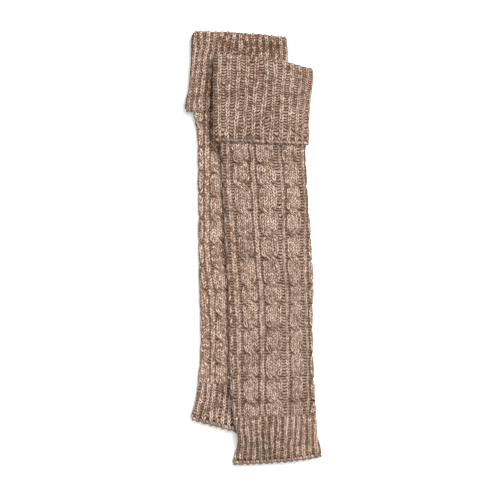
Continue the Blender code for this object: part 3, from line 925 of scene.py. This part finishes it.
# %% Make a cuff
CLEAR = 0.0005
CUFF_UPPER = 0.0020
CUFF_INSIDE = Level(-CLEAR, LEG_OUTSIDE.high + HIDDEN_RISE + CLEAR, CUFF_UPPER)
CUFF_OUTSIDE = Level(-CUFF_LIFT, CUFF_INSIDE.high + CUFF_UPPER, 0.0)
CUFF_MOUTH = Level(LEG_UNDER, LEG_UNDER + SLIT, CUFF_UPPER + CLEAR + LEG_UNDER)


def cuff(name, table, leg_top, fine, lie, ribs, guide):
    """A ribbed top, turned down."""
    course = ribs.course
    top = table[0]
    end = table[-1].y_left
    rows = turned_over(table[-1], CUFF_OUTSIDE, CUFF_INSIDE, EDGE_STEPS, -1, end / course, course)[::-1]
    for y in heights(end, top.y_left, fine.rows):
        rows.append(row_of(read_table(table, y), CUFF_OUTSIDE, show=1.0, edge=y - end, down=y / course))
    rows += turned_over(top, CUFF_OUTSIDE, CUFF_MOUTH, FOLD_ROWS, 1, top.y_left / course, course)
    meets = leg_top.y_left - top.y_left
    rows.append(row_of(top, CUFF_MOUTH, along=meets, facing=math.pi))
    rows.append(row_of(top, CUFF_INSIDE, along=meets, facing=math.pi))
    for y in heights(top.y_left + meets, end, CUFF_INSIDE_ROWS)[1:]:
        rows.append(row_of(read_table(table, y), CUFF_INSIDE, facing=math.pi, down=y / course))
    columns = columns_round(CUFF_OUTSIDE, table[3], fine.steps, lie.under)
    return knit_tube(name, rows, columns, lie.lift, ribbing(ribs, guide))


front_fine = Fine(((1.0, 0.00048),), 0.0005)
rear_fine = Fine(((1.0, 0.00052),), 0.00055)
front_ribs = (FRONT_CUFF_RIBS, FRONT_CUFF_GUIDE)
rear_ribs = (REAR_CUFF_RIBS, REAR_CUFF_GUIDE)
front_cuff = cuff("front_cuff_knit", FRONT_CUFF, FRONT_LEG[0], front_fine, UPPER, *front_ribs)
rear_cuff = cuff("rear_cuff_knit", REAR_CUFF, REAR_LEG[0], rear_fine, LOWER, *rear_ribs)

# %% [markdown]
# ## The yarn
#
# Heathered yarn is spun from light and dark fibres, so its colour changes along each stitch in short
# streaks, and over a hand's width it hardly changes. It is matt, with a faint pale edge from its loose
# fibres. Two node groups serve all six pieces: one repeats the stitch forms from the counts in the UV map,
# to paint shade into the gaps and to raise the yarn finely, and one mixes the yarn's colours.

# %% Short ways to place nodes
def feed(tree, sockets, values):
    """Give each socket its value, which is a constant or another node's output."""
    for socket, value in zip(sockets, values):
        if isinstance(value, bpy.types.NodeSocket):
            tree.links.new(value, socket)
        else:
            socket.default_value = value


def number(tree, operation, *values, clamp=False):
    """A Math node."""
    node = tree.nodes.new("ShaderNodeMath")
    node.operation = operation
    node.use_clamp = clamp
    feed(tree, node.inputs, values)
    return node.outputs[0]


def mix_colour(tree, factor, low, high):
    """A Mix node for colours."""
    node = tree.nodes.new("ShaderNodeMix")
    node.data_type = "RGBA"
    feed(tree, (node.inputs[0], node.inputs[6], node.inputs[7]), (factor, low, high))
    return node.outputs[2]


def read_attribute(tree, label):
    """The value of a point attribute of the mesh."""
    node = tree.nodes.new("ShaderNodeAttribute")
    node.attribute_name = label
    return node.outputs["Fac"]


def noise_of(tree, vector, detail, rough, scale=1.0):
    """A Noise node."""
    noise = tree.nodes.new("ShaderNodeTexNoise")
    noise.inputs["Scale"].default_value = scale
    noise.inputs["Detail"].default_value = detail
    noise.inputs["Roughness"].default_value = rough
    tree.links.new(vector, noise.inputs["Vector"])
    return noise


def new_group(name, inputs, outputs):
    """An empty node group with its named sockets, as (group, input node, output node)."""
    group = bpy.data.node_groups.new(name, "ShaderNodeTree")
    for way, sockets in (("INPUT", inputs), ("OUTPUT", outputs)):
        for label, kind in sockets.items():
            group.interface.new_socket(label, in_out=way, socket_type="NodeSocket" + kind)
    return group, group.nodes.new("NodeGroupInput"), group.nodes.new("NodeGroupOutput")


# %% Group: stitch forms from the counts
FIBRES_ACROSS = 3.2
FIBRES_ALONG = 3.5
OWN_FIBRES = 3.7


def dome_of(tree, value):
    """A rounded ridge, as dome makes it."""
    rest = number(tree, "SUBTRACT", 1.0, number(tree, "MULTIPLY", value, value), clamp=True)
    return number(tree, "SQRT", rest)


def make_stitch_group():
    """Height of knit and purl stitches, from 0 to 1, and the place along each length of yarn."""
    group, given, result = new_group(
        "stitch_forms",
        {"Stitch": "Vector", "Purl": "Float"},
        {"Height": "Float", "Across Yarn": "Float", "Cell": "Vector", "Fibre Place": "Vector"},
    )
    split = group.nodes.new("ShaderNodeSeparateXYZ")
    group.links.new(given.outputs["Stitch"], split.inputs[0])
    wale = split.outputs["X"]
    course = split.outputs["Y"]
    w = number(group, "ABSOLUTE", number(group, "SUBTRACT", number(group, "FRACT", wale), 0.5))
    slanted = number(group, "SUBTRACT", course, number(group, "MULTIPLY", w, LEAN))
    t = number(group, "MULTIPLY_ADD", number(group, "FRACT", slanted), 2.0, -1.0)
    s = number(group, "DIVIDE", number(group, "SUBTRACT", w, LEG_AT), LEG_HALF)
    knit = number(group, "MULTIPLY", dome_of(group, t), dome_of(group, s))
    turned = number(group, "MULTIPLY_ADD", wale, 2.0 * math.pi, -math.pi)
    bar_at = number(group, "MULTIPLY_ADD", number(group, "COSINE", turned), BAR_SAG, course)
    b = number(group, "MULTIPLY_ADD", number(group, "FRACT", bar_at), 2.0 / BAR_HALF, -1.0 / BAR_HALF)
    purl = dome_of(group, b)
    length = number(group, "FLOOR", slanted)
    cell = group.nodes.new("ShaderNodeCombineXYZ")
    feed(group, cell.inputs, (number(group, "FLOOR", number(group, "MULTIPLY", wale, 2.0)), length))
    shown = []
    for low, high in ((knit, purl), (t, b)):
        blend = group.nodes.new("ShaderNodeMix")
        feed(group, (blend.inputs[0], blend.inputs[2], blend.inputs[3]), (given.outputs["Purl"], low, high))
        shown.append(blend.outputs[0])
    fibre_place = group.nodes.new("ShaderNodeCombineXYZ")
    parts = ((shown[1], FIBRES_ACROSS), (wale, FIBRES_ALONG), (length, OWN_FIBRES))
    feed(group, fibre_place.inputs, [number(group, "MULTIPLY", value, times) for value, times in parts])
    feed(group, result.inputs, (*shown, cell.outputs[0], fibre_place.outputs[0]))
    return group


STITCH_FORMS = make_stitch_group()


# %% Group: the heathered colour
MIDDLE_TONE = 0.54
CELL_TONE = 0.75
STREAK_TONE = 1.3
LENGTH_TONE = 0.8
PATCH_TONE = 0.45
FIBRE_TONE = 1.5
CLOUD_TONE = 0.5
CLOUD_SCALE = 45.0


def flat_noise(tree, vector, scale, detail):
    """Flat noise over the stitch counts."""
    stretch = tree.nodes.new("ShaderNodeMapping")
    stretch.inputs["Scale"].default_value = (*scale, 1.0)
    tree.links.new(vector, stretch.inputs["Vector"])
    noise = noise_of(tree, stretch.outputs[0], detail, 0.65)
    noise.noise_dimensions = "2D"
    return noise.outputs[0]


def make_heather_group():
    """Light and dark fibres in short streaks along the stitches."""
    group, given, result = new_group(
        "heathered_yarn",
        {"Stitch": "Vector", "Cell": "Vector", "Fibre Place": "Vector", "Place": "Vector"}
        | {"Dark Patch": "Float", "Light": "Color", "Dark": "Color"},
        {"Color": "Color", "Fibre": "Float"},
    )
    streak = flat_noise(group, given.outputs["Stitch"], (1.3, 1.5), 3.0)
    length = flat_noise(group, given.outputs["Stitch"], (0.14, 0.85), 1.0)
    fibre = noise_of(group, given.outputs["Fibre Place"], 3.0, 0.7).outputs[0]
    cloud = noise_of(group, given.outputs["Place"], 1.0, 0.5, CLOUD_SCALE).outputs[0]
    cell = group.nodes.new("ShaderNodeTexWhiteNoise")
    cell.noise_dimensions = "2D"
    group.links.new(given.outputs["Cell"], cell.inputs["Vector"])
    total = number(group, "MULTIPLY_ADD", cell.outputs["Value"], CELL_TONE, MIDDLE_TONE - CELL_TONE / 2.0)
    tones = ((streak, STREAK_TONE), (length, LENGTH_TONE), (fibre, FIBRE_TONE), (cloud, CLOUD_TONE))
    for made, tone in tones:
        total = number(group, "ADD", total, number(group, "MULTIPLY_ADD", made, tone, -tone / 2.0))
    # The Dark Patch input darkens the mix, for darker marl and for painted shade alike.
    total = number(group, "MULTIPLY_ADD", given.outputs["Dark Patch"], -PATCH_TONE, total, clamp=True)
    colour = mix_colour(group, total, given.outputs["Dark"], given.outputs["Light"])
    feed(group, result.inputs, (colour, fibre))
    return group


HEATHERED_YARN = make_heather_group()

# %% The yarn's material, in one copy for each piece, painted lighter or darker for the light that piece gets
Colours = namedtuple("Colours", "light dark gap")
# The third colour is not yarn but painted shade, for the gaps between the stitches and the low gutters.
YARN = Colours((0.494, 0.371, 0.294), (0.123, 0.068, 0.041), (0.046, 0.0195, 0.0095))


def lit_and_shaded(level, gap):
    """The yarn's colours lit or shaded to one level of light, and the painted shade of its gaps to another,
    matched to the photograph.
    """
    levels = (level, level, gap)
    return Colours(*(tuple(k * channel for channel in colour) for k, colour in zip(levels, YARN)))


BUMP = 0.00035
# CREST and STANDS set where painted shade takes over from the yarn's colours: at the low edges of each
# length of yarn and in the low gutters. PATCH_SINKS moves the darker patches, marl and painted shade alike,
# further towards it.
CREST = (2.3, -0.3)
STANDS = (0.55, 0.36)
PATCH_SINKS = 0.35
PLY_TURNS = 5.5
PLY_RISE = 0.12
FIBRE_RISE = 0.35


def yarn_material(name, colours):
    """Matt heathered yarn, with painted shade in the gaps between its stitches and in its low places."""
    material = bpy.data.materials.new(name)
    material.use_nodes = True
    tree = material.node_tree
    shader = tree.nodes["Principled BSDF"]
    shader.inputs["Roughness"].default_value = 0.92
    shader.inputs["Specular IOR Level"].default_value = 0.08
    shader.inputs["Sheen Weight"].default_value = 0.03
    shader.inputs["Sheen Roughness"].default_value = 0.6
    counts = tree.nodes.new("ShaderNodeUVMap")
    counts.uv_map = "stitches"
    place = tree.nodes.new("ShaderNodeTexCoord")
    # dark carries darker marl and painted shade from the patches and the folded sides.
    dark = read_attribute(tree, "dark")
    forms = tree.nodes.new("ShaderNodeGroup")
    forms.node_tree = STITCH_FORMS
    feed(tree, forms.inputs, (counts.outputs[0], read_attribute(tree, "purl")))
    heather = tree.nodes.new("ShaderNodeGroup")
    heather.node_tree = HEATHERED_YARN
    light_yarn = (*colours.light, 1.0)
    dark_yarn = (*colours.dark, 1.0)
    spots = (forms.outputs["Cell"], forms.outputs["Fibre Place"], place.outputs["Object"])
    feed(tree, heather.inputs, (counts.outputs[0], *spots, dark, light_yarn, dark_yarn))
    # Painted shade: the low edges of the yarn, the low gutters and the darker patches are mixed towards the
    # gap shade colour.
    crown = number(tree, "MULTIPLY", forms.outputs["Height"], forms.outputs["Height"])
    crest = number(tree, "MULTIPLY_ADD", crown, *CREST, clamp=True)
    above = number(tree, "MULTIPLY_ADD", dark, -PATCH_SINKS, read_attribute(tree, "height"))
    stands = number(tree, "MULTIPLY_ADD", above, *STANDS, clamp=True)
    unshaded_share = number(tree, "MULTIPLY", crest, stands)
    colour = mix_colour(tree, unshaded_share, (*colours.gap, 1.0), heather.outputs["Color"])
    tree.links.new(colour, shader.inputs["Base Color"])
    plies = number(tree, "SINE", number(tree, "MULTIPLY", forms.outputs["Across Yarn"], PLY_TURNS))
    relief = number(tree, "MULTIPLY_ADD", plies, PLY_RISE, forms.outputs["Height"])
    relief = number(tree, "MULTIPLY_ADD", heather.outputs["Fibre"], FIBRE_RISE, relief)
    raised = tree.nodes.new("ShaderNodeBump")
    raised.inputs["Distance"].default_value = BUMP
    raised.inputs["Strength"].default_value = 1.0
    tree.links.new(relief, raised.inputs["Height"])
    tree.links.new(raised.outputs[0], shader.inputs["Normal"])
    return material


# Painted light and shade: all pieces are one yarn, and each copy's level makes it lighter or darker for the
# light it gets; the last value sets the strength of its painted gap shade.
LitCopy = namedtuple("LitCopy", "piece name level gap")
LIT_COPIES = (
    LitCopy(front_leg, "front_leg_yarn", 1.06, 1.0),
    LitCopy(front_hem, "front_hem_yarn", 1.22, 1.1),
    LitCopy(front_cuff, "front_cuff_yarn", 0.99, 1.1),
    LitCopy(rear_leg, "rear_leg_yarn", 1.22, 1.5),
    LitCopy(rear_hem, "rear_hem_yarn", 1.38, 0.8),
    LitCopy(rear_cuff, "rear_cuff_yarn", 1.20, 1.0),
)
for lit_copy in LIT_COPIES:
    lit_copy.piece.data.materials.append(yarn_material(lit_copy.name, lit_and_shaded(lit_copy.level, lit_copy.gap)))
print("yarn materials:", [lit_copy.name for lit_copy in LIT_COPIES])

# %% [markdown]
# ## Who stands for what
#
# Each knitted piece takes the place of its plain solid and moves with the only body. Its flat size is the
# cut of what shows, measured all round the tube: twice the width of the flattened tube by its length. The
# stitches raise the surface a little, so the yarn's path is longer.

# %% Tie the pieces to the frame
Cloth = namedtuple("Cloth", "piece node flat held rests_on")
CLOTHS = (
    Cloth(rear_leg, "rear_leg", (0.188, 0.365), "laid", ()),
    Cloth(rear_hem, "rear_hem", (0.192, 0.062), "laid", ()),
    Cloth(rear_cuff, "rear_cuff", (0.214, 0.090), "folded", (rear_leg,)),
    Cloth(front_leg, "front_leg", (0.188, 0.372), "laid", (rear_leg, rear_hem)),
    Cloth(front_hem, "front_hem", (0.186, 0.050), "laid", (rear_hem,)),
    Cloth(front_cuff, "front_cuff", (0.214, 0.090), "folded", (front_leg, rear_cuff)),
)
for cloth in CLOTHS:
    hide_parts(cloth.node)
    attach(cloth.piece, "root")

# %% [markdown]
# ## Floor, light and camera
#
# The photograph is a cut-out on white, taken from straight above with a long lens. A soft light from the
# upper right models the stitches, a broad one overhead fills them, and a bright even surround keeps the
# shadows pale. The floor is a plain pale board that the light takes to white.

# %% Floor
FLOOR_SIZE = 3.0
FLOOR_Z = -0.0003
bm = bmesh.new()
bmesh.ops.create_grid(bm, x_segments=1, y_segments=1, size=FLOOR_SIZE / 2.0)
bmesh.ops.translate(bm, verts=bm.verts, vec=(0.0, 0.0, FLOOR_Z))
floor_mesh = bpy.data.meshes.new("floor")
bm.to_mesh(floor_mesh)
bm.free()
floor = bpy.data.objects.new("floor", floor_mesh)
bpy.context.scene.collection.objects.link(floor)
board = bpy.data.materials.new("pale_board")
board.use_nodes = True
board_shader = board.node_tree.nodes["Principled BSDF"]
board_shader.inputs["Base Color"].default_value = (0.93, 0.93, 0.93, 1.0)
board_shader.inputs["Roughness"].default_value = 0.9
floor_mesh.materials.append(board)

# %% Lights
WORLD_LIGHT = 0.70
Lamp = namedtuple("Lamp", "name place size watts")
LAMPS = (
    Lamp("key_light", (0.8, 0.9, 1.5), 0.7, 47.0),
    Lamp("top_light", (0.2, 0.2, 2.9), 1.8, 38.0),
)
world = bpy.data.worlds.new("studio")
world.use_nodes = True
world.node_tree.nodes["Background"].inputs["Color"].default_value = (1.0, 1.0, 1.0, 1.0)
world.node_tree.nodes["Background"].inputs["Strength"].default_value = WORLD_LIGHT
bpy.context.scene.world = world
for lamp in LAMPS:
    light = bpy.data.lights.new(lamp.name, "AREA")
    light.size = lamp.size
    light.energy = lamp.watts
    holder = bpy.data.objects.new(lamp.name, light)
    holder.location = lamp.place
    holder.rotation_euler = (-holder.location).to_track_quat("-Z", "Y").to_euler()
    bpy.context.scene.collection.objects.link(holder)

# %% Camera
CAMERA_HEIGHT = 2.2
FRAME_WIDTH = 0.533
FRAME_CENTRE = (-0.0016, -0.0027)
SENSOR = 36.0
camera_data = bpy.data.cameras.new("camera")
camera_data.sensor_width = SENSOR
camera_data.lens = SENSOR * CAMERA_HEIGHT / FRAME_WIDTH
camera = bpy.data.objects.new("camera", camera_data)
camera.location = (*FRAME_CENTRE, CAMERA_HEIGHT)
bpy.context.scene.collection.objects.link(camera)
bpy.context.scene.camera = camera
bpy.context.scene.view_settings.view_transform = "Standard"
